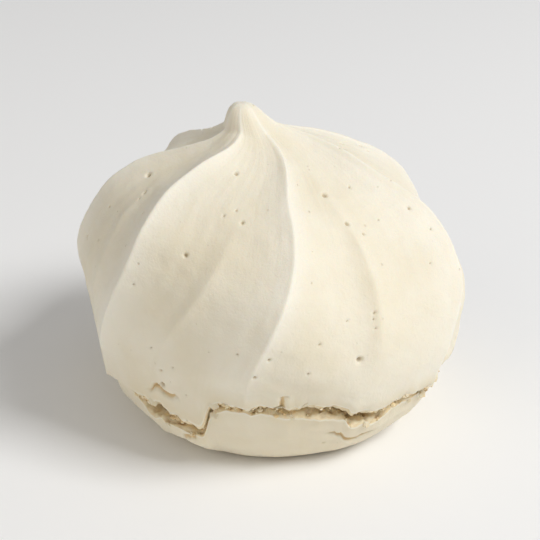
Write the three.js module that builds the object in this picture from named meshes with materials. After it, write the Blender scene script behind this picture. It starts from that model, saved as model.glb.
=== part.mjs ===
import * as THREE from 'three';

// Round piped meringue: one baked body, +Z up, millimetres.
// The front faces -Y. Angles are degrees round Z, from +X towards +Y.

// body profile, from the flat underside to the tip
const height = 60;
const baseRadius = 23.5;
const bellyRadius = 35.3;
const bellyHeight = 25;
const neckRadius = 19;
const neckHeight = 47.8;
const nubRadius = 4.6;
const nubHeight = 55;

// mesh rows up the profile: heights, shares of the crack's band, then counts up to the tip
const footRows = [0.35, 1.6, 4.2];
const crackRows = [-1, -0.75, -0.5, -0.25, 0, 0.25, 0.5, 0.75, 1];
const bellyRows = [19.6, 22.3];
const shoulderRows = 13;
const neckRows = 11;
const tipRows = 5;

// mesh columns gather a little towards the ridges
const columnGather = 0.05;

// crack round the foot: its band of skin reaches up and down from this height,
// and its lips, the lower one standing out and the upper one back, lie at a share of the band
const crackHeight = 13.2;
const crackBand = 4.8;
const crackDepth = 3.9;
const crackFlat = 0.25;
const crackGapLeast = 0.9;
const crackGapMore = 2.8;
const crackReach = 8;
const crackFoot = [0, 5];
const lipShare = 0.5;
const lipWidth = 0.14;
const lipStep = 0.3;

// the crack opens and narrows in this many waves round the body
const openLobes = 5;
const openMean = 0.72;
const openWave = 0.28;

// a jump of the crack line is this wide and dies out again this far on
const stepWidth = 3.6;
const stepFade = 26;

// swirl left by the piping; a pair of heights says where a form grows from nothing to full
const bodyTwist = 18;
const twistHeights = [6, 54];
const tipTwist = 45;
const tipTwistRadius = 21;
const tipTwistEase = 1.9;
const wander = 4;
const wanderPitch = 8.5;
const wanderHeights = [4, 16];

// the top leans, the tip curls and one shoulder sags
const topLeanX = -3;
const topLeanY = -2;
const leanHeights = [12, 59];
const tipCurlX = -2.4;
const tipCurlY = -0.8;
const curlHeights = [49, 60.5];
const shoulderTilt = 0.02;
const tiltHeights = [10, 40];
const tiltRadius = 20;

// relief moves the skin outward as from the middle of an egg, this high above and below the belly
const eggAbove = 36;
const eggBelow = 28;
const skinLift = 0.9;

// a crest is a share of the radius wide, steep on one side and gentle on the other
const crestShare = 0.15;
const crestLeast = 0.5;
const crestMost = 3.8;
const crestSteep = 0.75;
const crestGentle = 1.25;
const crestRound = 0.22;
const crestFadeLow = 5;
const crestFadeHigh = 20;

// crests and facets also fade towards the tip, and are stronger on the shoulder than below it
const crestRadii = [1, 15];
const crestLow = 0.6;
const facetRadii = [3, 18];
const facetLow = 0.16;
const facetFoot = [7, 24];
const facetTop = [44, 52];
const facetTopLoss = 0.65;
const crestShoulder = [24, 44];
const facetShoulder = [20, 42];

// ridges from tip to foot: angle, crest height, height where the crest dies out,
// place of the deepest line of the facet beyond it, depth of that facet, columns
const ridges = [
  { angle: -152, crest: 2.3, fadeAt: 6, valley: 0.42, flat: 0.66, columns: 13 },
  { angle: -97, crest: 1.9, fadeAt: 12, valley: 0.58, flat: 0.84, columns: 15 },
  { angle: -36, crest: 2.4, fadeAt: 5, valley: 0.38, flat: 0.70, columns: 12 },
  { angle: 14, crest: 1.5, fadeAt: 20, valley: 0.52, flat: 0.80, columns: 15 },
  { angle: 80, crest: 2.4, fadeAt: 8, valley: 0.45, flat: 0.62, columns: 9 },
  { angle: 116, crest: 1.3, fadeAt: 24, valley: 0.55, flat: 0.74, columns: 11 },
  { angle: 163, crest: 1.8, fadeAt: 10, valley: 0.48, flat: 0.80, columns: 9 },
];

// short folds between the ridges; they grow and die out within these shares of their height
const foldGrows = [0, 0.35];
const foldDies = [0.6, 1];
const folds = [
  { angle: -67, from: 21, to: 54, crest: 1.5, width: 1.9, lean: -12 },
  { angle: -124, from: 24, to: 49, crest: 0.8, width: 2.2, lean: 9 },
  { angle: -12, from: 18, to: 42, crest: 0.8, width: 2.4, lean: 8 },
  { angle: 46, from: 22, to: 48, crest: 1.0, width: 2.4, lean: -12 },
  { angle: 140, from: 20, to: 46, crest: 0.9, width: 2.6, lean: 10 },
  { angle: -172, from: 26, to: 50, crest: 0.7, width: 2.0, lean: -8 },
];

// slow waves of the skin: height, lobes round the body, climb in mm a radian, start
const skinWaves = [
  { height: 0.55, lobes: 2, climb: 9, start: 0.5 },
  { height: 0.45, lobes: 3, climb: -7, start: 2.2 },
  { height: 0.30, lobes: 5, climb: 6, start: 4 },
];
const waveHeights = [4, 18];
const waveRadius = 14;

// how far the body is out of round, as shares of its radius
const outOfRound = [
  { share: 0.016, lobes: 1, start: -0.7 },
  { share: 0.016, lobes: 2, start: 1.1 },
  { share: 0.010, lobes: 3, start: -0.4 },
];

// the crack line rises and falls between these angles, most steeply at the front left
const crackLevels = [
  { angle: -152, rise: -1.6 },
  { angle: -114, rise: -4.4 },
  { angle: -106, rise: 3.0 },
  { angle: -78, rise: 1.0 },
  { angle: -44, rise: -0.8 },
  { angle: 18, rise: 1.2 },
  { angle: 92, rise: 0.3 },
  { angle: 150, rise: -1.0 },
];

// the places where it also jumps a little
const crackSteps = [
  { angle: -130, rise: 1.0 },
  { angle: -95, rise: 0.8 },
  { angle: -84, rise: 1.2 },
  { angle: -68, rise: -1.9 },
  { angle: -52, rise: 0.8 },
  { angle: -33, rise: 1.2 },
  { angle: -8, rise: -1.4 },
  { angle: 16, rise: -0.9 },
  { angle: 38, rise: 1.5 },
  { angle: 97, rise: -1.2 },
  { angle: 121, rise: 1.4 },
  { angle: 150, rise: -1.2 },
];

// stretches where the crack stands open: middle, half length, soft end, share
const crackStretches = [
  { angle: -82, half: 56, soft: 7, share: 1 },
  { angle: 18, half: 26, soft: 8, share: 0.7 },
  { angle: 128, half: 34, soft: 8, share: 0.55 },
];

const rad = THREE.MathUtils.degToRad;
const smooth = THREE.MathUtils.smoothstep;
const clamp = THREE.MathUtils.clamp;
const lerp = THREE.MathUtils.lerp;

function turnFrom(angle, start) {
  return THREE.MathUtils.euclideanModulo(angle - start + 180, 360) - 180;
}

function crestShape(distance, width) {
  const soft = crestRound * width;
  return Math.exp(-(Math.hypot(distance, soft) - soft) / width);
}

function bump(distance, width) {
  return Math.exp(-((distance / width) ** 2));
}

function curve(points) {
  return new THREE.CubicBezierCurve(...points.map(([r, z]) => new THREE.Vector2(r, z)));
}

// profile rows from the middle of the underside up to the tip
function profileRows() {
  const base = [baseRadius, 0];
  const belly = [bellyRadius, bellyHeight];
  const neckTop = [neckRadius, neckHeight];
  const nub = [nubRadius, nubHeight];
  const side = curve([base, [28.8, 0.9], [bellyRadius, 12.5], belly]);
  const shoulder = curve([belly, [bellyRadius, 34.5], [29.2, 43.4], neckTop]);
  const neck = curve([neckTop, [13.4, 50.1], [8.6, 51.9], nub]);
  const tip = curve([nub, [3.0, 57.2], [2.6, height], [0, height]]);
  const sidePoints = side.getPoints(400);
  const rowAt = (z) => {
    const above = Math.max(1, sidePoints.findIndex((p) => p.y >= z - 1e-9));
    const low = sidePoints[above - 1];
    const high = sidePoints[above];
    return new THREE.Vector2().lerpVectors(low, high, (z - low.y) / (high.y - low.y));
  };
  const crackHeights = crackRows.map((share) => crackHeight + share * crackBand);
  const rows = [new THREE.Vector2(0, 0), new THREE.Vector2(baseRadius, 0)];
  for (const z of [...footRows, ...crackHeights, ...bellyRows, bellyHeight]) {
    rows.push(rowAt(z));
  }
  rows.push(...shoulder.getSpacedPoints(shoulderRows).slice(1));
  rows.push(...neck.getSpacedPoints(neckRows).slice(1));
  rows.push(...tip.getSpacedPoints(tipRows).slice(1));
  return rows;
}

// one angle for each column, so that every ridge has a column of its own
function columnAngles() {
  const angles = [];
  ridges.forEach((ridge, k) => {
    const next = ridges[(k + 1) % ridges.length];
    const span = THREE.MathUtils.euclideanModulo(next.angle - ridge.angle, 360);
    for (let i = 0; i < ridge.columns; i++) {
      const share = i / ridge.columns;
      angles.push(ridge.angle + span * (share - columnGather * Math.sin(2 * Math.PI * share)));
    }
  });
  return angles;
}

function twistAt(r, z) {
  const nearTip = z > bellyHeight ? clamp(1 - r / tipTwistRadius, 0, 1) ** tipTwistEase : 0;
  return bodyTwist * smooth(z, ...twistHeights) + tipTwist * nearTip;
}

// how strong a ridge is at this height: it dies out towards the foot
function ridgeFade(ridge, z) {
  return smooth(z, ridge.fadeAt - crestFadeLow, ridge.fadeAt + crestFadeHigh);
}

// how far the two ridges beside this place, and the facet between them, move the skin
function ridgeRelief(r, z, angle) {
  const around = Math.max(r, 0.4);
  const width = clamp(around * crestShare, crestLeast, crestMost);
  const crestFade = smooth(r, ...crestRadii) * lerp(crestLow, 1, smooth(z, ...crestShoulder));
  const facetFade = smooth(r, ...facetRadii) * lerp(facetLow, 1, smooth(z, ...facetShoulder))
    * smooth(z, ...facetFoot) * (1 - facetTopLoss * smooth(z, ...facetTop));
  for (let k = 0; k < ridges.length; k++) {
    const ridge = ridges[k];
    const next = ridges[(k + 1) % ridges.length];
    const span = THREE.MathUtils.euclideanModulo(next.angle - ridge.angle, 360);
    const along = THREE.MathUtils.euclideanModulo(angle - ridge.angle, 360);
    if (along >= span) {
      continue;
    }
    const share = along / span;
    const length = around * rad(span);
    const near = ridge.crest * ridgeFade(ridge, z) * crestShape(share * length, width * crestSteep);
    const far = next.crest * ridgeFade(next, z) * crestShape((1 - share) * length, width * crestGentle);
    const bent = share < ridge.valley
      ? 0.5 * share / ridge.valley
      : 0.5 + 0.5 * (share - ridge.valley) / (1 - ridge.valley);
    const depth = around * (1 - Math.cos(rad(span) / 2)) * ridge.flat * facetFade;
    return (near + far) * crestFade - depth * Math.sin(Math.PI * (0.5 * bent + 0.5 * share));
  }
  return 0;
}

function foldRelief(r, z, angle) {
  let relief = 0;
  for (const fold of folds) {
    const up = (z - fold.from) / (fold.to - fold.from);
    const off = turnFrom(angle, fold.angle + fold.lean * (up - 0.5));
    const window = smooth(up, ...foldGrows) * (1 - smooth(up, ...foldDies));
    relief += fold.crest * window * crestShape(rad(off) * Math.max(r, 0.4), fold.width);
  }
  return relief;
}

function unevenness(r, z, phi) {
  const waves = skinWaves.map((w) => w.height * Math.sin(w.lobes * phi + z / w.climb + w.start));
  const fade = smooth(z, ...waveHeights) * clamp(r / waveRadius, 0, 1);
  return waves.reduce((sum, wave) => sum + wave) * fade;
}

function roundness(phi) {
  return outOfRound.reduce((sum, w) => sum + w.share * Math.cos(w.lobes * phi + w.start), 1);
}

// how far the crack line lies above its mean height
function crackLine(phi) {
  const angle = THREE.MathUtils.radToDeg(phi);
  let rise = 0;
  crackLevels.forEach((level, k) => {
    const next = crackLevels[(k + 1) % crackLevels.length];
    const span = THREE.MathUtils.euclideanModulo(next.angle - level.angle, 360);
    const along = THREE.MathUtils.euclideanModulo(angle - level.angle, 360);
    if (along < span) {
      rise += lerp(level.rise, next.rise, smooth(along, 0, span));
    }
  });
  for (const step of crackSteps) {
    const off = turnFrom(angle, step.angle);
    rise += step.rise * smooth(off, -stepWidth / 2, stepWidth / 2) * (1 - smooth(off, 0, stepFade));
  }
  return rise;
}

// 0 where the crack is closed, up to 1 where it stands widest
function crackOpening(phi) {
  const angle = THREE.MathUtils.radToDeg(phi);
  const shares = crackStretches.map((stretch) => {
    const off = Math.abs(turnFrom(angle, stretch.angle));
    return stretch.share * (1 - smooth(off, stretch.half - stretch.soft, stretch.half + stretch.soft));
  });
  return Math.max(...shares) * (openMean + openWave * Math.sin(openLobes * phi + 1));
}

// the crack at a profile height: the height its skin moves to, and how far inward
function crackPlace(z, phi) {
  const share = (z - crackHeight) / crackBand;
  const away = Math.abs(share);
  if (away > 1.0001) {
    return { z, inward: 0 };
  }
  const open = crackOpening(phi);
  const side = Math.sign(share);
  const halfGap = (crackGapLeast + crackGapMore * open) / 2;
  const offset = away < lipShare
    ? halfGap * away / lipShare
    : halfGap + (away - lipShare) / (1 - lipShare) * (crackBand - halfGap);
  const lip = lipStep * side * bump(away - lipShare, lipWidth);
  const groove = crackDepth * (1 - smooth(away / lipShare, crackFlat, 1));
  return { z: crackHeight + side * offset, inward: open * (groove + lip) };
}

// place of the skin for a profile row and a column angle
function skinPoint(r, z, angle) {
  const stray = wander * Math.sin(z / wanderPitch + 2 * Math.sin(rad(angle)) + 1);
  const phi = rad(angle + twistAt(r, z) - stray * smooth(z, ...wanderHeights));
  const relief = ridgeRelief(r, z, angle) + foldRelief(r, z, angle) + unevenness(r, z, phi);

  const outR = r / bellyRadius;
  const outZ = (z - bellyHeight) / (z > bellyHeight ? eggAbove : eggBelow);
  const length = Math.hypot(outR, outZ);

  const crack = crackPlace(z, phi);
  const tilt = smooth(z, ...tiltHeights) * clamp(r / tiltRadius, 0, 1);
  let newZ = crack.z;
  newZ += crackLine(phi) * bump(z - crackHeight, crackReach) * smooth(z, ...crackFoot);
  newZ += z > 0 ? relief * outZ / length * skinLift : 0;
  newZ *= 1 + shoulderTilt * tilt * Math.cos(phi + 2);

  const newR = (r + relief * outR / length - crack.inward) * roundness(phi);
  const lean = smooth(z, ...leanHeights);
  const curl = smooth(z, ...curlHeights);
  return new THREE.Vector3(
    newR * Math.cos(phi) + topLeanX * lean + tipCurlX * curl,
    newR * Math.sin(phi) + topLeanY * lean + tipCurlY * curl,
    z > 0 ? newZ : 0,
  );
}

// stands a geometry on z = 0 with the middle of its box on the Z axis
function standAtOrigin(geometry) {
  geometry.computeBoundingBox();
  const middle = geometry.boundingBox.getCenter(new THREE.Vector3());
  geometry.translate(-middle.x, -middle.y, -geometry.boundingBox.min.z);
}

function meringueGeometry() {
  const rows = profileRows();
  const angles = columnAngles();
  const geometry = new THREE.LatheGeometry(rows, angles.length);
  const place = geometry.attributes.position;
  for (let i = 0; i <= angles.length; i++) {
    rows.forEach((row, j) => {
      const onAxis = row.x < 1e-6;
      const angle = onAxis ? 0 : angles[i % angles.length];
      const p = skinPoint(onAxis ? 0 : row.x, row.y, angle);
      place.setXYZ(i * rows.length + j, p.x, p.y, p.z);
    });
  }
  standAtOrigin(geometry);
  geometry.computeVertexNormals();
  return geometry;
}

const ivory = new THREE.MeshStandardMaterial({
  color: 0xebe3cf,
  roughness: 0.65,
  metalness: 0,
});

const meringue = new THREE.Mesh(meringueGeometry(), ivory);
meringue.name = 'meringue';

const group = new THREE.Group();
group.add(meringue);

export default group;
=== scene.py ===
import bmesh
import bpy
import math
import random
from mathutils import Matrix, Vector, kdtree, noise


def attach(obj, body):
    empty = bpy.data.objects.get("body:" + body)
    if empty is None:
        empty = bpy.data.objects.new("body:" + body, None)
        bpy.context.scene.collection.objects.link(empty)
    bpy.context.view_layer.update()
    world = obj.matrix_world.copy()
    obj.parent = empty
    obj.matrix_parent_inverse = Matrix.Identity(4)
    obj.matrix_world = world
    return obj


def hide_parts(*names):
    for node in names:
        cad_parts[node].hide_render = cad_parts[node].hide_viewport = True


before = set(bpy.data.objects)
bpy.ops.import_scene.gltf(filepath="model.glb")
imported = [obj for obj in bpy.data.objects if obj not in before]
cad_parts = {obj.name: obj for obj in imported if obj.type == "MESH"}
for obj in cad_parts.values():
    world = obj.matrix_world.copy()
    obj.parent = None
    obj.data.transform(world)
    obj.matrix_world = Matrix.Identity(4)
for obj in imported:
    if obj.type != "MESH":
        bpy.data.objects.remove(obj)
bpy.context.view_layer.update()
mm = 0.001


def smooth(x, low, high):
    t = min(max((x - low) / (high - low), 0.0), 1.0)
    return t * t * (3 - 2 * t)


def clamp(x, low=0.0, high=1.0):
    return min(max(x, low), high)


def mix(a, b, share):
    return a + (b - a) * share


def bump(distance, width):
    return math.exp(-(distance / width) ** 2)


def turnFrom(angle, start):
    return (angle - start + 180) % 360 - 180


seedShift = (7.3, -3.1, 1)


def grain(x, y, z, size, seed=0):
    # smooth noise between -1 and 1, size is one lump in mm
    dx, dy, dz = seedShift
    return noise.noise(Vector((x / size + seed * dx, y / size + seed * dy, z / size + seed * dz)))


def bubbleShare(x, y, z, size, walls):
    # 0 on the walls between the bubbles of a foam, 1 in the middle of one
    near = noise.voronoi(Vector((x, y, z)) / size)[0]
    return smooth(near[1] - near[0], *walls)


def evenly(line, steps):
    # evenly spaced along a line of points, first point left out
    lengths = [0.0]
    for a, b in zip(line, line[1:]):
        lengths.append(lengths[-1] + math.dist(a, b))
    points = []
    k = 0
    for i in range(1, steps + 1):
        want = lengths[-1] * i / steps
        while k < len(lengths) - 2 and lengths[k + 1] < want:
            k += 1
        t = clamp((want - lengths[k]) / (lengths[k + 1] - lengths[k]))
        a, b = line[k], line[k + 1]
        points.append((mix(a[0], b[0], t), mix(a[1], b[1], t)))
    return points


def bezierLine(p0, p1, p2, p3, steps=300):
    line = []
    for i in range(steps + 1):
        t = i / steps
        s = 1 - t
        weights = (s ** 3, 3 * s * s * t, 3 * s * t * t, t ** 3)
        line.append(tuple(sum(w * p[k] for w, p in zip(weights, (p0, p1, p2, p3))) for k in range(2)))
    return line


def link(obj):
    bpy.context.scene.collection.objects.link(obj)
    return obj


# form of the meringue, in mm and degrees

body = {
    "height": 60, "baseRadius": 23.5, "bellyRadius": 35.3, "bellyHeight": 25,
    "neckRadius": 19, "neckHeight": 47.8, "nubRadius": 4.6, "nubHeight": 55,
    # two points bend each stretch of the profile, radius and height
    "footBend": ((28.8, 0.9), (35.3, 12.5)), "shoulderBend": ((35.3, 34.5), (29.2, 43.4)),
    "neckBend": ((13.4, 50.1), (8.6, 51.9)), "tipBend": ((3.0, 57.2), (2.6, 60)),
    "waves": [(0.55, 2, 9, 0.5), (0.45, 3, -7, 2.2), (0.30, 5, 6, 4)],  # height, lobes, climb, start
    "waveHeights": (4, 18), "waveRadius": 14,
    "outOfRound": [(0.016, 1, -0.7), (0.016, 2, 1.1), (0.010, 3, -0.4)],  # share, lobes, start
    "eggAbove": 36, "eggBelow": 28, "skinLift": 0.9,
    "tilt": 0.02, "tiltStart": 2, "tiltHeights": (10, 40), "tiltRadius": 20,
    "axisRadius": 0.4,  # arcs nearer the axis are measured as if they were here
    "columns": 480, "columnGather": 0.05, "merge": 1e-4, "flowClimb": 220,
    "rowsBase": 10, "rowsFoot": 22, "rowsBelly": 15,
    "rowsShoulder": 62, "rowsNeck": 28, "rowsTip": 11,
}

# a pair of heights or radii says where something grows from nothing to full
swirl = {
    "twist": 18, "heights": (6, 54),
    "wander": 4, "wanderPitch": 8.5, "wanderSway": 2, "wanderStart": 1, "wanderHeights": (4, 16),
    "tipTwist": 45, "tipRadius": 21, "tipEase": 1.9,
    "lean": (-3, -2), "leanHeights": (12, 59),
    "curl": (-2.4, -0.8), "curlHeights": (49, 60.5),
}

crest = {
    "share": 0.15, "least": 0.5, "most": 3.8, "steep": 0.75, "gentle": 1.25, "round": 0.22,
    "fadeLow": 5, "fadeHigh": 20, "radii": (1, 15), "shoulder": (24, 44), "low": 0.6,
    "crease": 0.30, "creaseWidth": 0.55, "creaseRadius": 5,
    "creaseMean": 0.75, "creaseWave": 0.5, "creaseGrain": (9, 5),  # a grain is a size and a seed
}

facet = {
    "radii": (3, 18), "foot": (7, 24), "shoulder": (20, 42), "low": 0.16,
    "top": (44, 52), "topLoss": 0.65,
}

# angle, crest height, height where it dies out, deepest line of the facet, depth of the facet
ridges = [
    {"angle": -152, "crest": 2.3, "fadeAt": 6, "valley": 0.42, "flat": 0.66},
    {"angle": -97, "crest": 1.9, "fadeAt": 12, "valley": 0.58, "flat": 0.84},
    {"angle": -36, "crest": 2.4, "fadeAt": 5, "valley": 0.38, "flat": 0.70},
    {"angle": 14, "crest": 1.5, "fadeAt": 20, "valley": 0.52, "flat": 0.80},
    {"angle": 80, "crest": 2.4, "fadeAt": 8, "valley": 0.45, "flat": 0.62},
    {"angle": 116, "crest": 1.3, "fadeAt": 24, "valley": 0.55, "flat": 0.74},
    {"angle": 163, "crest": 1.8, "fadeAt": 10, "valley": 0.48, "flat": 0.80},
]

foldSpan = {"grows": (0, 0.35), "dies": (0.6, 1)}  # shares of a fold's height

folds = [
    {"angle": -67, "low": 21, "high": 54, "crest": 1.5, "width": 1.9, "lean": -12},
    {"angle": -124, "low": 24, "high": 49, "crest": 0.8, "width": 2.2, "lean": 9},
    {"angle": -12, "low": 18, "high": 42, "crest": 0.8, "width": 2.4, "lean": 8},
    {"angle": 46, "low": 22, "high": 48, "crest": 1.0, "width": 2.4, "lean": -12},
    {"angle": 140, "low": 20, "high": 46, "crest": 0.9, "width": 2.6, "lean": 10},
    {"angle": -172, "low": 26, "high": 50, "crest": 0.7, "width": 2.0, "lean": -8},
]

# levels are angle and rise of the crack line, steps are places where it jumps
crack = {
    "height": 13.2, "band": 4.8, "depth": 3.9, "flat": 0.25, "gapLeast": 0.9, "gapMore": 2.8,
    "reach": 8, "footHeights": (0, 5),
    "openLobes": 5, "openMean": 0.72, "openWave": 0.28, "openStart": 1,
    "rowsOuter": 6, "rowsInside": 26,
    "levels": [(-152, -1.6), (-114, -4.4), (-106, 3.0), (-78, 1.0),
               (-44, -0.8), (18, 1.2), (92, 0.3), (150, -1.0)],
    "stepWidth": 3.6, "stepFade": 26,
    "steps": [(-130, 1.0), (-95, 0.8), (-84, 1.2), (-68, -1.9), (-52, 0.8), (-33, 1.2),
              (-8, -1.4), (16, -0.9), (38, 1.5), (97, -1.2), (121, 1.4), (150, -1.2)],
    "stretches": [(-82, 56, 7, 1), (18, 26, 8, 0.7), (128, 34, 8, 0.55)],  # middle, half, soft end, share
}

# lips of the crack; apart keeps the upper and the lower lip from being alike
lips = {
    "share": 0.5, "width": 0.14, "step": 0.3,
    "uneven": 0.35, "unevenApart": 9, "unevenGrain": (2.2, 3),
    "ragged": 0.5, "raggedApart": 4, "raggedWidth": 0.3,
    "coarse": (3.1, 6), "fine": (1.2, 7), "fineShare": 0.8,
    "jagged": 0.035, "jaggedGrain": (1.5, 14),
    "rimWidth": 0.06, "grooveFrom": 0.1, "grooveGain": 3, "tanGain": 2,
}

# foamy crumb inside the crack, between two shares of its depth
foam = {
    "depths": (0.01, 0.15), "bubble": 1.3, "walls": (0.04, 0.6), "sunk": 0.45,
    "crumble": 0.35, "crumbleGrain": (0.8, 9), "height": 1.3, "heightShare": 0.8, "inward": 0.6,
}

# short cracks beside the long one, starting at a rise above or below it; a free one tapers at both ends
fissures = [
    {"angle": -133, "rise": 4.6, "heading": 14, "length": 9.0, "width": 0.65, "depth": 1.3, "free": True},
    {"angle": -116, "rise": -0.8, "heading": -128, "length": 5.5, "width": 0.8, "depth": 1.2, "free": False},
    {"angle": -74, "rise": -6.0, "heading": 4, "length": 12, "width": 0.7, "depth": 1.0, "free": True},
    {"angle": -89, "rise": 0.6, "heading": 66, "length": 5.0, "width": 0.8, "depth": 1.2, "free": False},
    {"angle": -30, "rise": 0.8, "heading": 100, "length": 6.0, "width": 0.8, "depth": 1.2, "free": False},
    {"angle": 40, "rise": 0.6, "heading": 70, "length": 6.5, "width": 0.8, "depth": 1.2, "free": False},
    {"angle": 112, "rise": 0.6, "heading": 104, "length": 6.0, "width": 0.8, "depth": 1.2, "free": False},
    {"angle": 150, "rise": -6.0, "heading": 174, "length": 10.0, "width": 0.7, "depth": 1.0, "free": True},
]

# how a short crack wanders, as heights, places and sizes of noise, and how wide it is at its ends
split = {
    "wanders": [(0.7, 0, 2.6), (0.5, 5, 0.9)], "narrow": 0.25, "widening": 0.35,
    "heights": (1, 30), "reach": 14, "grooveLimit": 0.01, "fullDepth": 1.2, "finerFrom": 0.04,
    "lossAtLips": 0.4,  # shallower by this share at the lips of the long crack
}

# what only the baked skin has
skin = {
    "lumps": [(11, 0.36), (4.5, 0.17), (1.9, 0.07)],  # size and height
    "streaks": 0.07, "streakRadius": 15, "streakClimb": 0.05,
    "ripples": 0.24, "rippleStretch": 4, "rippleGrain": (1.3, 12), "rippleHeights": (10, 22),
    "heights": (0.2, 3), "radius": 3, "least": 0.3,
    "footDent": 0.22, "dentRadii": (14, 22), "footPits": 0.12, "footGrain": (3.5, 11),
}


def crestShape(distance, width):
    soft = crest["round"] * width
    return math.exp(-(math.hypot(distance, soft) - soft) / width)


def profileRows():
    # from the middle of the underside up to the tip
    b, c = body, crack
    belly = (b["bellyRadius"], b["bellyHeight"])
    neck = (b["neckRadius"], b["neckHeight"])
    nub = (b["nubRadius"], b["nubHeight"])
    tip = (0, b["height"])
    side = bezierLine((b["baseRadius"], 0.0), *b["footBend"], belly)

    def rowAt(z):
        for low, high in zip(side, side[1:]):
            if high[1] >= z - 1e-9:
                t = clamp((z - low[1]) / (high[1] - low[1]))
                return (mix(low[0], high[0], t), z)
        return side[-1]

    rows = [(b["baseRadius"] * i / b["rowsBase"], 0.0) for i in range(b["rowsBase"] + 1)]
    low, high = c["height"] - c["band"], c["height"] + c["band"]
    rows += evenly([p for p in side if p[1] < low] + [rowAt(low)], b["rowsFoot"])
    lip, outer, inside = lips["share"], c["rowsOuter"], c["rowsInside"]
    shares = [-1 + (1 - lip) * (i + 1) / outer for i in range(outer)]
    shares += [-lip + 2 * lip * (i + 1) / inside for i in range(inside)]
    shares += [lip + (1 - lip) * (i + 1) / outer for i in range(outer)]
    rows += [rowAt(c["height"] + share * c["band"]) for share in shares]
    rows += evenly([rowAt(high)] + [p for p in side if p[1] > high], b["rowsBelly"])
    rows += evenly(bezierLine(belly, *b["shoulderBend"], neck), b["rowsShoulder"])
    rows += evenly(bezierLine(neck, *b["neckBend"], nub), b["rowsNeck"])
    rows += evenly(bezierLine(nub, *b["tipBend"], tip), b["rowsTip"])
    return rows


def twistAt(r, z):
    s = swirl
    nearTip = clamp(1 - r / s["tipRadius"]) ** s["tipEase"] if z > body["bellyHeight"] else 0
    return s["twist"] * smooth(z, *s["heights"]) + s["tipTwist"] * nearTip


def ridgeFade(ridge, z):
    return smooth(z, ridge["fadeAt"] - crest["fadeLow"], ridge["fadeAt"] + crest["fadeHigh"])


def ridgeRelief(r, z, angle):
    # relief, how near a crest is, how near its thin crease is, how deep the facet is
    around = max(r, body["axisRadius"])
    width = clamp(around * crest["share"], crest["least"], crest["most"])
    crestFade = smooth(r, *crest["radii"]) * mix(crest["low"], 1, smooth(z, *crest["shoulder"]))
    facetFade = smooth(r, *facet["radii"]) * mix(facet["low"], 1, smooth(z, *facet["shoulder"]))
    facetFade *= smooth(z, *facet["foot"]) * (1 - facet["topLoss"] * smooth(z, *facet["top"]))
    for k, ridge in enumerate(ridges):
        after = ridges[(k + 1) % len(ridges)]
        span = (after["angle"] - ridge["angle"]) % 360
        share = (angle - ridge["angle"]) % 360 / span
        if share >= 1:
            continue
        length = around * math.radians(span)
        nearFade, farFade = ridgeFade(ridge, z), ridgeFade(after, z)
        near = nearFade * crestShape(share * length, width * crest["steep"])
        far = farFade * crestShape((1 - share) * length, width * crest["gentle"])
        valley = ridge["valley"]
        bent = 0.5 * share / valley if share < valley else 0.5 + 0.5 * (share - valley) / (1 - valley)
        depth = around * (1 - math.cos(math.radians(span) / 2)) * ridge["flat"] * facetFade
        dip = math.sin(math.pi * (0.5 * bent + 0.5 * share))
        crease = max(nearFade * bump(share * length, crest["creaseWidth"]),
                     farFade * bump((1 - share) * length, crest["creaseWidth"]))
        crease *= clamp(r / crest["creaseRadius"])
        relief = (ridge["crest"] * near + after["crest"] * far) * crestFade - depth * dip
        return relief, max(near, far), crease, dip * facetFade
    return 0.0, 0.0, 0.0, 0.0


def foldRelief(r, z, angle):
    relief = 0.0
    around = max(r, body["axisRadius"])
    for fold in folds:
        up = (z - fold["low"]) / (fold["high"] - fold["low"])
        if 0 < up < 1:
            off = turnFrom(angle, fold["angle"] + fold["lean"] * (up - 0.5))
            window = smooth(up, *foldSpan["grows"]) * (1 - smooth(up, *foldSpan["dies"]))
            relief += fold["crest"] * window * crestShape(math.radians(off) * around, fold["width"])
    return relief


def unevenness(r, z, phi):
    waves = 0.0
    for height, lobes, climb, start in body["waves"]:
        waves += height * math.sin(lobes * phi + z / climb + start)
    return waves * smooth(z, *body["waveHeights"]) * clamp(r / body["waveRadius"])


def roundness(phi):
    return 1 + sum(share * math.cos(lobes * phi + start) for share, lobes, start in body["outOfRound"])


def crackLine(phi):
    rise = 0.0
    levels = crack["levels"]
    for (angle, low), (after, high) in zip(levels, levels[1:] + levels[:1]):
        span, along = (after - angle) % 360, (math.degrees(phi) - angle) % 360
        if along < span:
            rise += mix(low, high, smooth(along, 0, span))
    half, fade = crack["stepWidth"] / 2, crack["stepFade"]
    for place, step in crack["steps"]:
        off = turnFrom(math.degrees(phi), place)
        if -half < off < fade:
            rise += step * smooth(off, -half, half) * (1 - smooth(off, 0, fade))
    return rise


def crackOpening(phi):
    c = crack
    widest = 0.0
    for middle, half, soft, share in c["stretches"]:
        off = abs(turnFrom(math.degrees(phi), middle))
        widest = max(widest, share * (1 - smooth(off, half - soft, half + soft)))
    return widest * (c["openMean"] + c["openWave"] * math.sin(c["openLobes"] * phi + c["openStart"]))


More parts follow.
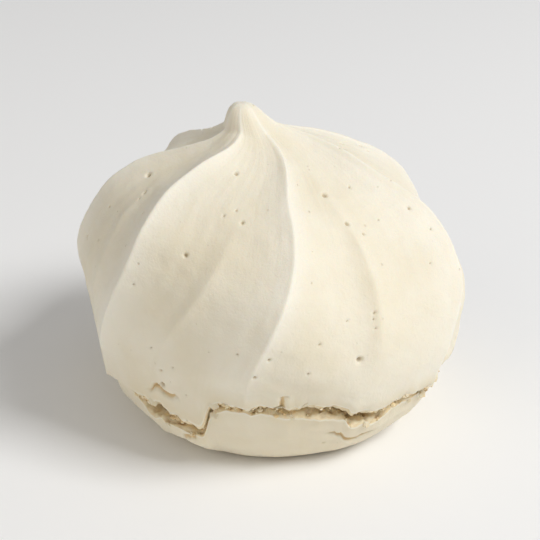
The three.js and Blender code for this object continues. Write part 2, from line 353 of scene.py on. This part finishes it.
def crackPlace(r, z, phi):
    # new height, way inward, and what the crumb is like there
    c, f = crack, foam
    share = (z - c["height"]) / c["band"]
    away, side = abs(share), 1 if share > 0 else -1
    if away > 1.0001:
        return z, 0.0, {"groove": 0.0, "bubble": 0.0, "rim": 0.0, "tanned": 0.0}
    arc = body["bellyRadius"] * phi
    opening = crackOpening(phi)
    near, fromLip = away / lips["share"], away - lips["share"]
    past = fromLip / (1 - lips["share"])
    halfGap = (c["gapLeast"] + c["gapMore"] * opening) / 2
    halfGap *= 1 + lips["uneven"] * grain(arc, side * lips["unevenApart"], 0, *lips["unevenGrain"])
    offset = halfGap * near if near < 1 else halfGap + past * (c["band"] - halfGap)
    newZ = c["height"] + side * offset
    inward = opening * c["depth"] * (1 - smooth(near, c["flat"], 1))
    # foam inside, and a ragged thin edge to the crust
    foamy = smooth(inward / c["depth"], *f["depths"])
    fx, fy = (r - inward) * math.cos(phi), (r - inward) * math.sin(phi)
    bubble = bubbleShare(fx, fy, newZ, f["bubble"], f["walls"]) * foamy
    sponge = bubble - f["sunk"] * foamy + f["crumble"] * foamy * grain(fx, fy, newZ, *f["crumbleGrain"])
    newZ += side * min(f["height"] * opening, f["heightShare"] * offset) * sponge
    inward += opening * (f["inward"] * sponge + side * lips["step"] * bump(fromLip, lips["width"]))
    apart = side * lips["raggedApart"]
    ragged = grain(arc, apart, 0, *lips["coarse"]) + lips["fineShare"] * grain(arc, apart, 0, *lips["fine"])
    newZ += lips["ragged"] * ragged * bump(fromLip, lips["raggedWidth"]) * opening
    shown = clamp(lips["tanGain"] * opening)
    look = {
        "groove": smooth(1 - near, 0, lips["grooveFrom"]) * clamp(lips["grooveGain"] * opening),
        "bubble": bubble,
        "rim": bump(fromLip, lips["rimWidth"]) * shown,
        "tanned": (1 - smooth(past, 0, 1)) * shown,
    }
    return newZ, inward, look


def fissureDepth(phi, aboveCrack, r):
    deepest = 0.0
    for f in fissures:
        across = math.radians(turnFrom(math.degrees(phi), f["angle"])) * r
        up = aboveCrack - f["rise"]
        heading = math.radians(f["heading"])
        along = across * math.cos(heading) + up * math.sin(heading)
        if abs(across) > split["reach"] or not 0 < along < f["length"]:
            continue
        away = up * math.cos(heading) - across * math.sin(heading)
        away += sum(most * grain(along, f["angle"], place, size) for most, place, size in split["wanders"])
        share = along / f["length"]
        taper = 1 - (2 * share - 1) ** 2 if f["free"] else 1 - share ** 2
        width = f["width"] * (split["narrow"] + split["widening"] * taper)
        deepest = max(deepest, f["depth"] * taper * bump(away, width))
    return deepest


def fineSkin(x, y, z, r, angle, crease):
    s, c = skin, crest
    fine = sum(height * grain(x, y, z, size, k) for k, (size, height) in enumerate(s["lumps"]))
    a = math.radians(angle)
    sx, sy = s["streakRadius"] * math.cos(a), s["streakRadius"] * math.sin(a)
    fine += s["streaks"] * grain(sx, sy, z * s["streakClimb"], 1)
    ripples = grain(x / s["rippleStretch"], y / s["rippleStretch"], z, *s["rippleGrain"])
    fine += s["ripples"] * ripples * (1 - smooth(z, *s["rippleHeights"]))
    fine *= smooth(z, *s["heights"]) * clamp(r / s["radius"], s["least"])
    uneven = c["creaseMean"] + c["creaseWave"] * grain(x, y, z, *c["creaseGrain"])
    return fine + c["crease"] * crease * uneven


def skinPlace(r, z, angle):
    # place of a profile row at a column angle, and what the skin is like there
    b, s = body, swirl
    sway = s["wanderSway"] * math.sin(math.radians(angle))
    stray = s["wander"] * math.sin(z / s["wanderPitch"] + sway + s["wanderStart"])
    phi = math.radians(angle + twistAt(r, z) - stray * smooth(z, *s["wanderHeights"]))
    above = z - b["bellyHeight"]
    outR, outZ = r / b["bellyRadius"], above / (b["eggAbove"] if above > 0 else b["eggBelow"])
    length = math.hypot(outR, outZ)
    px, py = r * math.cos(phi), r * math.sin(phi)

    relief, ridge, crease, hollow = ridgeRelief(r, z, angle)
    relief += foldRelief(r, z, angle) + unevenness(r, z, phi) + fineSkin(px, py, z, r, angle, crease)
    newZ, inward, look = crackPlace(r, z, phi)
    # both lips follow one jagged line
    line = crackLine(phi + lips["jagged"] * grain(b["bellyRadius"] * phi, 0, 0, *lips["jaggedGrain"]))
    newZ += line * bump(z - crack["height"], crack["reach"]) * smooth(z, *crack["footHeights"])
    newZ += relief * outZ / length * b["skinLift"] if z > 0 else 0
    tilt = b["tilt"] * math.cos(phi + b["tiltStart"]) * smooth(z, *b["tiltHeights"])
    newZ *= 1 + tilt * clamp(r / b["tiltRadius"])
    gash = 0.0
    low, high = split["heights"]
    if low < z < high and look["groove"] < split["grooveLimit"]:
        gash = fissureDepth(phi, newZ - crack["height"] - line, r)
    if z <= 0:
        # baked underside: flat rim, a little hollow and pitted inside it
        pitted = skin["footDent"] + skin["footPits"] * grain(px, py, 0, *skin["footGrain"])
        newZ = (1 - smooth(r, *skin["dentRadii"])) * pitted

    shallow = 1 - split["lossAtLips"] * look["tanned"] ** 2
    newR = (r + relief * outR / length - inward - gash * shallow) * roundness(phi)
    lean, curl = smooth(z, *s["leanHeights"]), smooth(z, *s["curlHeights"])
    x = newR * math.cos(phi) + s["lean"][0] * lean + s["curl"][0] * curl
    y = newR * math.sin(phi) + s["lean"][1] * lean + s["curl"][1] * curl
    look.update({"ridge": ridge, "hollow": hollow, "fissure": clamp(gash / split["fullDepth"])})
    return Vector((x, y, newZ)), look


def columnAngle(angle):
    # gathers the columns a little towards the ridges
    for k, ridge in enumerate(ridges):
        span = (ridges[(k + 1) % len(ridges)]["angle"] - ridge["angle"]) % 360
        share = (angle - ridge["angle"]) % 360 / span
        if share < 1:
            return ridge["angle"] + span * (share - body["columnGather"] * math.sin(2 * math.pi * share))
    return angle


# spots are drawn on a ball and moved to the nearest point of the skin
pinholes = {
    "seed": 5, "count": 130, "smallest": 0.34, "largest": 0.85, "deepest": 0.8, "margin": 0.25,
    "fewLarge": 2.5, "ball": 34, "ballHeight": 24, "upFrom": -0.62, "upTo": 0.95,
    "lowest": 1.5, "grooveLimit": 0.02,
}


def vertexTree(bm):
    # positions by index, for finding what lies near a place
    bm.verts.ensure_lookup_table()
    bm.verts.index_update()
    tree = kdtree.KDTree(len(bm.verts))
    for k, v in enumerate(bm.verts):
        tree.insert(v.co, k)
    tree.balance()
    return tree


def pressPinholes(bm, pinhole, groove):
    # burst bubbles in the skin, spread evenly over it, most of them small
    p = pinholes
    rng = random.Random(p["seed"])
    tree = vertexTree(bm)
    holes = []
    while len(holes) < p["count"]:
        up, around = rng.uniform(p["upFrom"], p["upTo"]), rng.uniform(-math.pi, math.pi)
        side = math.sqrt(1 - up * up)
        spot = Vector((side * math.cos(around), side * math.sin(around), up)) * p["ball"]
        spot += Vector((0, 0, p["ballHeight"]))
        size = p["smallest"] + (p["largest"] - p["smallest"]) * rng.random() ** p["fewLarge"]
        centre = bm.verts[tree.find(spot)[1]]
        if centre[groove] < p["grooveLimit"] and centre.co.z > p["lowest"]:
            holes.append((centre.co.copy(), -centre.normal, size))
    # finer faces where the holes go
    near = {k for place, _, size in holes for _, k, _ in tree.find_range(place, size + p["margin"])}
    edges = [edge for edge in bm.edges if any(v.index in near for v in edge.verts)]
    bmesh.ops.subdivide_edges(bm, edges=edges, cuts=1, use_grid_fill=True)
    tree = vertexTree(bm)
    for place, inward, size in holes:
        for _, k, away in tree.find_range(place, size):
            share = (1 - (away / size) ** 2) ** 2
            v = bm.verts[k]
            v.co += inward * share * p["deepest"] * size / p["largest"]
            v[pinhole] = max(v[pinhole], share)


def makeMeringue():
    bm = bmesh.new()
    line = [bm.verts.new((r, 0, z)) for r, z in profileRows()]
    for a, b in zip(line, line[1:]):
        bm.edges.new((a, b))
    bmesh.ops.spin(bm, geom=bm.verts[:] + bm.edges[:], cent=(0, 0, 0), axis=(0, 0, 1),
                   angle=2 * math.pi, steps=body["columns"], use_merge=True)
    bmesh.ops.remove_doubles(bm, verts=bm.verts[:], dist=body["merge"])
    names = ("ridge", "hollow", "fissure", "groove", "bubble", "rim", "tanned", "pinhole")
    layers = {name: bm.verts.layers.float.new(name) for name in names}
    flow = bm.verts.layers.float_vector.new("flow")
    profile = bm.verts.layers.float_vector.new("profile")

    def shape(verts):
        for v in verts:
            r, z, angle = v[profile]
            v.co, look = skinPlace(r, z, angle)
            for name, value in look.items():
                v[layers[name]] = value
            a = math.radians(angle)
            v[flow] = Vector((math.cos(a), math.sin(a), z / body["flowClimb"]))

    for v in bm.verts:
        r = math.hypot(v.co.x, v.co.y)
        angle = columnAngle(math.degrees(math.atan2(v.co.y, v.co.x))) if r > body["merge"] else 0.0
        v[profile] = Vector((r, max(v.co.z, 0.0), angle))
    shape(bm.verts)
    # finer faces at the short cracks
    fissure = layers["fissure"]
    edges = [edge for edge in bm.edges if any(v[fissure] > split["finerFrom"] for v in edge.verts)]
    made = bmesh.ops.subdivide_edges(bm, edges=edges, cuts=1, use_grid_fill=True)["geom_inner"]
    shape([g for g in made if isinstance(g, bmesh.types.BMVert)])
    bm.verts.layers.float_vector.remove(profile)
    xs, ys, zs = ([v.co[k] for v in bm.verts] for k in range(3))
    middle = Vector(((min(xs) + max(xs)) / 2, (min(ys) + max(ys)) / 2, min(zs)))
    bmesh.ops.translate(bm, verts=bm.verts[:], vec=-middle)
    bmesh.ops.recalc_face_normals(bm, faces=bm.faces[:])
    bm.normal_update()
    pressPinholes(bm, layers["pinhole"], layers["groove"])
    bmesh.ops.scale(bm, verts=bm.verts[:], vec=(mm, mm, mm))
    for face in bm.faces:
        face.smooth = True
    mesh = bpy.data.meshes.new("meringueShell")
    bm.to_mesh(mesh)
    bm.free()
    print("meringue shell:", sum(len(p.vertices) - 2 for p in mesh.polygons), "triangles")
    return link(bpy.data.objects.new("meringueShell", mesh))


crumbs = {
    "seed": 11, "count": 440, "smallest": 0.3, "largest": 1.05, "fewLarge": 2, "sunk": 0.3,
    "uneven": 0.28, "wide": (0.7, 1.3), "tall": (0.6, 1.1), "grooveFrom": 0.6,
}


def makeCrumbs(shell):
    # loose bits of crumb lying on the walls of the crack
    c = crumbs
    rng = random.Random(c["seed"])
    groove = shell.data.attributes["groove"].data
    places = [v for v in shell.data.vertices if groove[v.index].value > c["grooveFrom"]]
    bm = bmesh.new()
    for v in rng.sample(places, c["count"]):
        size = c["smallest"] + (c["largest"] - c["smallest"]) * rng.random() ** c["fewLarge"]
        spot = v.co / mm + v.normal * size * (0.5 - c["sunk"])
        made = bmesh.ops.create_icosphere(bm, subdivisions=1, radius=size / 2)["verts"]
        for corner in made:
            corner.co *= 1 + rng.uniform(-c["uneven"], c["uneven"])
        sides = rng.uniform(*c["wide"]), rng.uniform(*c["wide"]), rng.uniform(*c["tall"])
        stretch = Matrix.Diagonal((*sides, 1))
        axis = Vector((rng.random(), rng.random(), rng.random() + 0.1))
        turn = Matrix.Rotation(rng.uniform(0, 2 * math.pi), 4, axis)
        bmesh.ops.transform(bm, matrix=Matrix.Translation(spot) @ turn @ stretch, verts=made)
    bmesh.ops.scale(bm, verts=bm.verts[:], vec=(mm, mm, mm))
    mesh = bpy.data.meshes.new("crackCrumbs")
    bm.to_mesh(mesh)
    bm.free()
    print("crumbs:", c["count"])
    return link(bpy.data.objects.new("crackCrumbs", mesh))


flakes = {
    "seed": 3, "count": 30, "smallest": 0.45, "largest": 1.1, "thick": 0.25, "tilt": 0.45,
    "corners": 6, "cornerShare": (0.55, 1.1), "rimFrom": 0.9,
}


def makeFlakes(shell):
    # thin chips of crust standing at the edges of the crack
    f = flakes
    rng = random.Random(f["seed"])
    rim = shell.data.attributes["rim"].data
    places = [v for v in shell.data.vertices if rim[v.index].value > f["rimFrom"]]
    places.sort(key=lambda v: v.co[:])  # the same order on every run
    bm = bmesh.new()
    for v in rng.sample(places, f["count"]):
        size = rng.uniform(f["smallest"], f["largest"])
        made = bmesh.ops.create_circle(bm, cap_ends=True, segments=f["corners"], radius=size)["verts"]
        for corner in made:
            corner.co *= rng.uniform(*f["cornerShare"])
        plate = list({face for corner in made for face in corner.link_faces})
        lifted = bmesh.ops.extrude_face_region(bm, geom=plate)["geom"]
        top = [g for g in lifted if isinstance(g, bmesh.types.BMVert)]
        bmesh.ops.translate(bm, verts=top, vec=(0, 0, f["thick"]))
        outward = Vector((v.co.x, v.co.y, 0)).normalized()
        tilt = Vector([rng.uniform(-f["tilt"], f["tilt"]) for _ in range(3)])
        turn = (outward + tilt).to_track_quat("Z", "Y").to_matrix().to_4x4()
        spin = Matrix.Rotation(rng.uniform(0, 2 * math.pi), 4, "Z")
        place = Matrix.Translation(v.co / mm - outward * f["thick"])
        bmesh.ops.transform(bm, matrix=place @ turn @ spin, verts=made + top)
    bmesh.ops.recalc_face_normals(bm, faces=bm.faces[:])
    bmesh.ops.scale(bm, verts=bm.verts[:], vec=(mm, mm, mm))
    mesh = bpy.data.meshes.new("crustFlakes")
    bm.to_mesh(mesh)
    bm.free()
    print("flakes:", f["count"])
    return link(bpy.data.objects.new("crustFlakes", mesh))


# materials


def mixColor(tree, factor, a, b):
    node = tree.nodes.new("ShaderNodeMix")
    node.data_type = "RGBA"
    for name, value in (("Factor", factor), ("A", a), ("B", b)):
        socket = next(s for s in node.inputs if s.name == name and s.enabled)
        if isinstance(value, bpy.types.NodeSocket):
            tree.links.new(value, socket)
        else:
            socket.default_value = value if name == "Factor" else (*value, 1)
    return next(s for s in node.outputs if s.enabled)


def compute(tree, operation, *values, clamped=False):
    node = tree.nodes.new("ShaderNodeMath")
    node.operation = operation
    node.use_clamp = clamped
    for socket, value in zip(node.inputs, values):
        if isinstance(value, bpy.types.NodeSocket):
            tree.links.new(value, socket)
        else:
            socket.default_value = value
    return node.outputs[0]


def ease(tree, value, fromLow, fromHigh, low, high):
    # a soft mask: low where the value is fromLow, high where it is fromHigh
    node = tree.nodes.new("ShaderNodeMapRange")
    node.interpolation_type = "SMOOTHSTEP"
    for key, number in zip(("From Min", "From Max", "To Min", "To Max"), (fromLow, fromHigh, low, high)):
        node.inputs[key].default_value = number
    tree.links.new(value, node.inputs["Value"])
    return node.outputs["Result"]


def noiseAt(tree, vector, scale, detail, roughness):
    node = tree.nodes.new("ShaderNodeTexNoise")
    for key, value in (("Scale", scale), ("Detail", detail), ("Roughness", roughness)):
        if isinstance(value, bpy.types.NodeSocket):
            tree.links.new(value, node.inputs[key])
        else:
            node.inputs[key].default_value = value
    tree.links.new(vector, node.inputs["Vector"])
    return node.outputs["Fac"]


def attribute(tree, name, output="Fac"):
    node = tree.nodes.new("ShaderNodeAttribute")
    node.attribute_name = name
    return node.outputs[output]


sugarGrain = {
    "scales": {"Mottle Scale": 90.0, "Grain Scale": 2600.0, "Pit Scale": 420.0},
    # detail and roughness of two noises whose scales are the group's own inputs
    "mottle": (3.0, 0.5), "fine": (3.0, 0.6), "fineHeight": 0.35,
    "bareCells": 0.70, "pitLeast": 0.06, "pitMore": 0.09,
}


def sugarCrustGroup():
    # dry sugar crust: slow mottling, fine grain and tiny pits, from a position in metres
    g = sugarGrain
    tree = bpy.data.node_groups.new("sugarCrust", "ShaderNodeTree")
    tree.interface.new_socket("Vector", in_out="INPUT", socket_type="NodeSocketVector")
    for name, value in g["scales"].items():
        tree.interface.new_socket(name, in_out="INPUT", socket_type="NodeSocketFloat").default_value = value
    for name in ("Mottle", "Pits", "Height"):
        tree.interface.new_socket(name, in_out="OUTPUT", socket_type="NodeSocketFloat")
    inner = tree.nodes.new("NodeGroupInput")
    outer = tree.nodes.new("NodeGroupOutput")
    vector = inner.outputs["Vector"]
    mottle = noiseAt(tree, vector, inner.outputs["Mottle Scale"], *g["mottle"])
    fine = noiseAt(tree, vector, inner.outputs["Grain Scale"], *g["fine"])
    # one pit in a few cells, so that they lie unevenly
    cells = tree.nodes.new("ShaderNodeTexVoronoi")
    tree.links.new(vector, cells.inputs["Vector"])
    tree.links.new(inner.outputs["Pit Scale"], cells.inputs["Scale"])
    parts = tree.nodes.new("ShaderNodeSeparateColor")
    tree.links.new(cells.outputs["Color"], parts.inputs["Color"])
    chosen = compute(tree, "GREATER_THAN", parts.outputs["Red"], g["bareCells"])
    size = compute(tree, "MULTIPLY_ADD", parts.outputs["Green"], g["pitMore"], g["pitLeast"])
    near = compute(tree, "DIVIDE", cells.outputs["Distance"], size)
    pits = compute(tree, "MULTIPLY", compute(tree, "SUBTRACT", 1.0, near, clamped=True), chosen)
    height = compute(tree, "SUBTRACT", compute(tree, "MULTIPLY", fine, g["fineHeight"]), pits)
    tree.links.new(mottle, outer.inputs["Mottle"])
    tree.links.new(pits, outer.inputs["Pits"])
    tree.links.new(height, outer.inputs["Height"])
    return tree


sugarScatter = (1.0, 0.72, 0.45)  # how far red, green and blue light go into the crust


def newMaterial(name, look):
    material = bpy.data.materials.new(name)
    material.use_nodes = True
    shader = material.node_tree.nodes["Principled BSDF"]
    shader.inputs["Roughness"].default_value = look["roughness"]
    shader.inputs["Specular IOR Level"].default_value = look["specular"]
    if "scatter" in look:
        shader.inputs["Subsurface Weight"].default_value = look["scatter"]
        shader.inputs["Subsurface Radius"].default_value = sugarScatter
        shader.inputs["Subsurface Scale"].default_value = look["scatterScale"]
    return material, material.node_tree, shader


def placeCrust(tree, sugarCrust, values):
    place = tree.nodes.new("ShaderNodeTexCoord").outputs["Object"]
    crust = tree.nodes.new("ShaderNodeGroup")
    crust.node_tree = sugarCrust
    for key, value in values.items():
        crust.inputs[key].default_value = value
    tree.links.new(place, crust.inputs["Vector"])
    return place, crust


def addBump(tree, shader, height, strength, distance):
    node = tree.nodes.new("ShaderNodeBump")
    node.inputs["Strength"].default_value = strength
    node.inputs["Distance"].default_value = distance
    tree.links.new(height, node.inputs["Height"])
    tree.links.new(node.outputs["Normal"], shader.inputs["Normal"])


crustLook = {
    "ivory": (0.87, 0.81, 0.665), "pale": (0.93, 0.895, 0.80), "warm": (0.79, 0.705, 0.52),
    "foot": (0.80, 0.715, 0.54), "underside": (0.76, 0.66, 0.47), "brown": (0.66, 0.50, 0.29),
    "tan": (0.80, 0.71, 0.52), "crumb": (0.87, 0.755, 0.53), "gold": (0.76, 0.58, 0.32),
    # on the crust, toast is painted shade in the crack's bubble hollows; pit is painted shade in the pits
    # and pinholes
    "toastAndShade": (0.50, 0.325, 0.15), "pitShade": (0.52, 0.42, 0.27),
    "roughness": 0.62, "specular": 0.35, "scatter": 0.18, "scatterScale": 0.002,
    "bump": 0.5, "bumpDistance": 0.0003,
    # a mask goes between two readings, here metres for heights, from one share to another
    # the hollow share is painted shade in the facets, the ridge share a painted highlight on the crests
    "mottled": (0.35, 0.68, 0, 0.5), "hollowShade": 0.25, "ridges": 0.60, "nearFoot": (0.019, 0.008, 0, 0.55),
    "streaked": (0.52, 0.72, 0, 0.2), "streakHeights": (0.0004, 0.003, 0, 0.8),
    "patched": (0.42, 0.66, 0, 0.7), "under": (0.0014, 0.0003, 0, 0.9),
    # the bubble share is painted shade in the bubble hollows of the crack
    "crumbled": (0.40, 0.64, 0, 0.6), "bubbleShade": (0.35, 0.95, 0, 0.85), "tanning": (0.3, 0.6, 0.25, 0.9),
    "rims": (0.2, 1.0, 0, 0.5), "lipInside": (0.0, 0.30, 0, 0.75), "grooves": (0.15, 0.85, 0, 0.95),
    "fissures": (0.12, 0.60, 0, 0.9), "pits": 0.6, "pinholes": (0.15, 0.9, 0, 0.75),
    "roughMottle": (0.3, 0.7), "smoother": 0.06, "rougher": 0.08, "poreHeight": 0.7,
    # noises are a scale, a detail and a roughness
    "streakNoise": (9.0, 3.0, 0.6), "patchNoise": (160.0, 4.0, 0.6),
    "crumbleNoise": (900.0, 4.0, 0.7), "poreNoise": (620.0, 3.0, 0.6),
}


def crustMaterial(sugarCrust):
    c = crustLook
    material, tree, shader = newMaterial("bakedCrust", c)
    place, crust = placeCrust(tree, sugarCrust, {})
    axes = tree.nodes.new("ShaderNodeSeparateXYZ")
    tree.links.new(place, axes.inputs["Vector"])
    height = axes.outputs["Z"]

    # ivory, paler on the ridges as a painted highlight, warmer in the hollows as painted shade, and warmer
    # down at the foot
    mottle = crust.outputs["Mottle"]
    color = mixColor(tree, ease(tree, mottle, *c["mottled"]), c["ivory"], c["warm"])
    # warmer in the facet hollows: painted shade
    hollowShade = compute(tree, "MULTIPLY", attribute(tree, "hollow"), c["hollowShade"])
    # paler along the crests: a painted highlight
    ridgeHighlight = compute(tree, "MULTIPLY", attribute(tree, "ridge"), c["ridges"])
    color = mixColor(tree, hollowShade, color, c["warm"])
    color = mixColor(tree, ridgeHighlight, color, c["pale"])
    color = mixColor(tree, ease(tree, height, *c["nearFoot"]), color, c["foot"])
    # streaks along the swirl, and a baked underside
    streaks = noiseAt(tree, attribute(tree, "flow", "Vector"), *c["streakNoise"])
    color = mixColor(tree, ease(tree, streaks, *c["streaked"]), color, c["warm"])
    patches = noiseAt(tree, place, *c["patchNoise"])
    baked = mixColor(tree, ease(tree, patches, *c["patched"]), c["underside"], c["brown"])
    color = mixColor(tree, ease(tree, height, *c["under"]), color, baked)
    # crack: thin pale edge, gold crumb, and dark brown in the bubble hollows as painted shade
    crumble = noiseAt(tree, place, *c["crumbleNoise"])
    inside = mixColor(tree, ease(tree, crumble, *c["crumbled"]), c["crumb"], c["gold"])
    inside = mixColor(tree, ease(tree, attribute(tree, "bubble"), *c["bubbleShade"]), inside, c["toastAndShade"])
    tanned = compute(tree, "MULTIPLY", attribute(tree, "tanned"), ease(tree, mottle, *c["tanning"]))
    groove = attribute(tree, "groove")
    color = mixColor(tree, tanned, color, c["tan"])
    color = mixColor(tree, ease(tree, attribute(tree, "rim"), *c["rims"]), color, c["pale"])
    color = mixColor(tree, ease(tree, groove, *c["lipInside"]), color, c["warm"])
    color = mixColor(tree, ease(tree, groove, *c["grooves"]), color, inside)
    # gold in the short cracks is partly the crumb's own colour and partly painted shade in the narrow
    # grooves
    color = mixColor(tree, ease(tree, attribute(tree, "fissure"), *c["fissures"]), color, c["gold"])
    # painted shade: dark in the pits and pinholes
    color = mixColor(tree, compute(tree, "MULTIPLY", crust.outputs["Pits"], c["pits"]), color, c["pitShade"])
    color = mixColor(tree, ease(tree, attribute(tree, "pinhole"), *c["pinholes"]), color, c["pitShade"])
    tree.links.new(color, shader.inputs["Base Color"])

    roughness = (c["roughness"] - c["smoother"], c["roughness"] + c["rougher"])
    tree.links.new(ease(tree, mottle, *c["roughMottle"], *roughness), shader.inputs["Roughness"])
    pores = noiseAt(tree, place, *c["poreNoise"])
    streaks = compute(tree, "MULTIPLY", streaks, ease(tree, height, *c["streakHeights"]))
    relief = compute(tree, "ADD", streaks, crust.outputs["Height"])
    relief = compute(tree, "MULTIPLY_ADD", pores, c["poreHeight"], relief)
    addBump(tree, shader, relief, c["bump"], c["bumpDistance"])
    return material


crumbLook = {
    "light": (0.86, 0.755, 0.54), "gold": (0.76, 0.58, 0.32), "toastAndShade": (0.52, 0.335, 0.15),
    "roughness": 0.7, "specular": 0.35, "scatter": 0.15, "scatterScale": 0.001,
    "bump": 0.5, "bumpDistance": 0.0002,
    "scales": {"Mottle Scale": 700, "Grain Scale": 4200}, "patchNoise": (420.0, 2.0, 0.5),
    "patched": (0.40, 0.62, 0, 1), "toasted": (0.50, 0.70, 0, 0.85),
}


def crumbMaterial(sugarCrust):
    c = crumbLook
    material, tree, shader = newMaterial("goldenCrumb", c)
    place, crust = placeCrust(tree, sugarCrust, c["scales"])
    patches = noiseAt(tree, place, *c["patchNoise"])
    color = mixColor(tree, ease(tree, patches, *c["patched"]), c["light"], c["gold"])
    color = mixColor(tree, ease(tree, crust.outputs["Mottle"], *c["toasted"]), color, c["toastAndShade"])
    tree.links.new(color, shader.inputs["Base Color"])
    addBump(tree, shader, crust.outputs["Height"], c["bump"], c["bumpDistance"])
    return material


flakeLook = {
    "pale": (0.81, 0.725, 0.55), "gold": (0.76, 0.61, 0.38),
    "roughness": 0.6, "specular": 0.35, "scatter": 0.2, "scatterScale": 0.001,
    "bump": 0.4, "bumpDistance": 0.0002,
    "scales": {"Mottle Scale": 500}, "mottled": (0.42, 0.66, 0, 0.8),
}


def flakeMaterial(sugarCrust):
    c = flakeLook
    material, tree, shader = newMaterial("crustChip", c)
    _, crust = placeCrust(tree, sugarCrust, c["scales"])
    color = mixColor(tree, ease(tree, crust.outputs["Mottle"], *c["mottled"]), c["pale"], c["gold"])
    tree.links.new(color, shader.inputs["Base Color"])
    addBump(tree, shader, crust.outputs["Height"], c["bump"], c["bumpDistance"])
    return material


sugarCrust = sugarCrustGroup()

shell = makeMeringue()
shell.data.materials.append(crustMaterial(sugarCrust))
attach(shell, "root")
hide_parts("meringue")

crumbPiece = makeCrumbs(shell)
crumbPiece.data.materials.append(crumbMaterial(sugarCrust))
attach(crumbPiece, "root")

flakePiece = makeFlakes(shell)
flakePiece.data.materials.append(flakeMaterial(sugarCrust))
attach(flakePiece, "root")

# floor, light and camera

studio = {
    "floor": {"size": 3, "color": (0.93, 0.93, 0.93), "roughness": 0.8, "specular": 0.3},
    "worldColor": (1.0, 1.0, 1.0), "worldStrength": 0.36,
    "key": {"place": (0.84, -0.34, 0.98), "size": 0.5, "power": 11.8, "color": (1.0, 1.0, 1.0)},
    "fill": {"place": (-0.9, -0.7, 0.6), "size": 1.0, "power": 2.2, "color": (1.0, 0.89, 0.72)},
}

camera = {"azimuth": 0, "elevation": 28, "distance": 0.24, "lens": 85, "target": (0.0, 0.0, 0.0255)}


def makeFloor():
    f = studio["floor"]
    bm = bmesh.new()
    bmesh.ops.create_grid(bm, x_segments=1, y_segments=1, size=f["size"])
    mesh = bpy.data.meshes.new("studioFloor")
    bm.to_mesh(mesh)
    bm.free()
    floor = link(bpy.data.objects.new("studioFloor", mesh))
    material, _, shader = newMaterial("paleFloor", f)
    shader.inputs["Base Color"].default_value = (*f["color"], 1)
    floor.data.materials.append(material)


def areaLight(name, lamp):
    data = bpy.data.lights.new(name, "AREA")
    data.size = lamp["size"]
    data.energy = lamp["power"]
    data.color = lamp["color"]
    obj = link(bpy.data.objects.new(name, data))
    obj.location = lamp["place"]
    obj.rotation_euler = (Vector(camera["target"]) - obj.location).to_track_quat("-Z", "Y").to_euler()


def makeWorld():
    world = bpy.data.worlds.new("studioWorld")
    world.use_nodes = True
    background = world.node_tree.nodes["Background"]
    background.inputs["Color"].default_value = (*studio["worldColor"], 1)
    background.inputs["Strength"].default_value = studio["worldStrength"]
    bpy.context.scene.world = world
    bpy.context.scene.view_settings.view_transform = "Standard"


def makeCamera():
    data = bpy.data.cameras.new("camera")
    data.lens = camera["lens"]
    obj = link(bpy.data.objects.new("camera", data))
    a, e = math.radians(camera["azimuth"]), math.radians(camera["elevation"])
    back = Vector((math.sin(a) * math.cos(e), -math.cos(a) * math.cos(e), math.sin(e)))
    obj.location = Vector(camera["target"]) + back * camera["distance"]
    obj.rotation_euler = (-back).to_track_quat("-Z", "Y").to_euler()
    bpy.context.scene.camera = obj


makeFloor()
areaLight("keyLight", studio["key"])
areaLight("fillLight", studio["fill"])
makeWorld()
makeCamera()
print("studio ready")
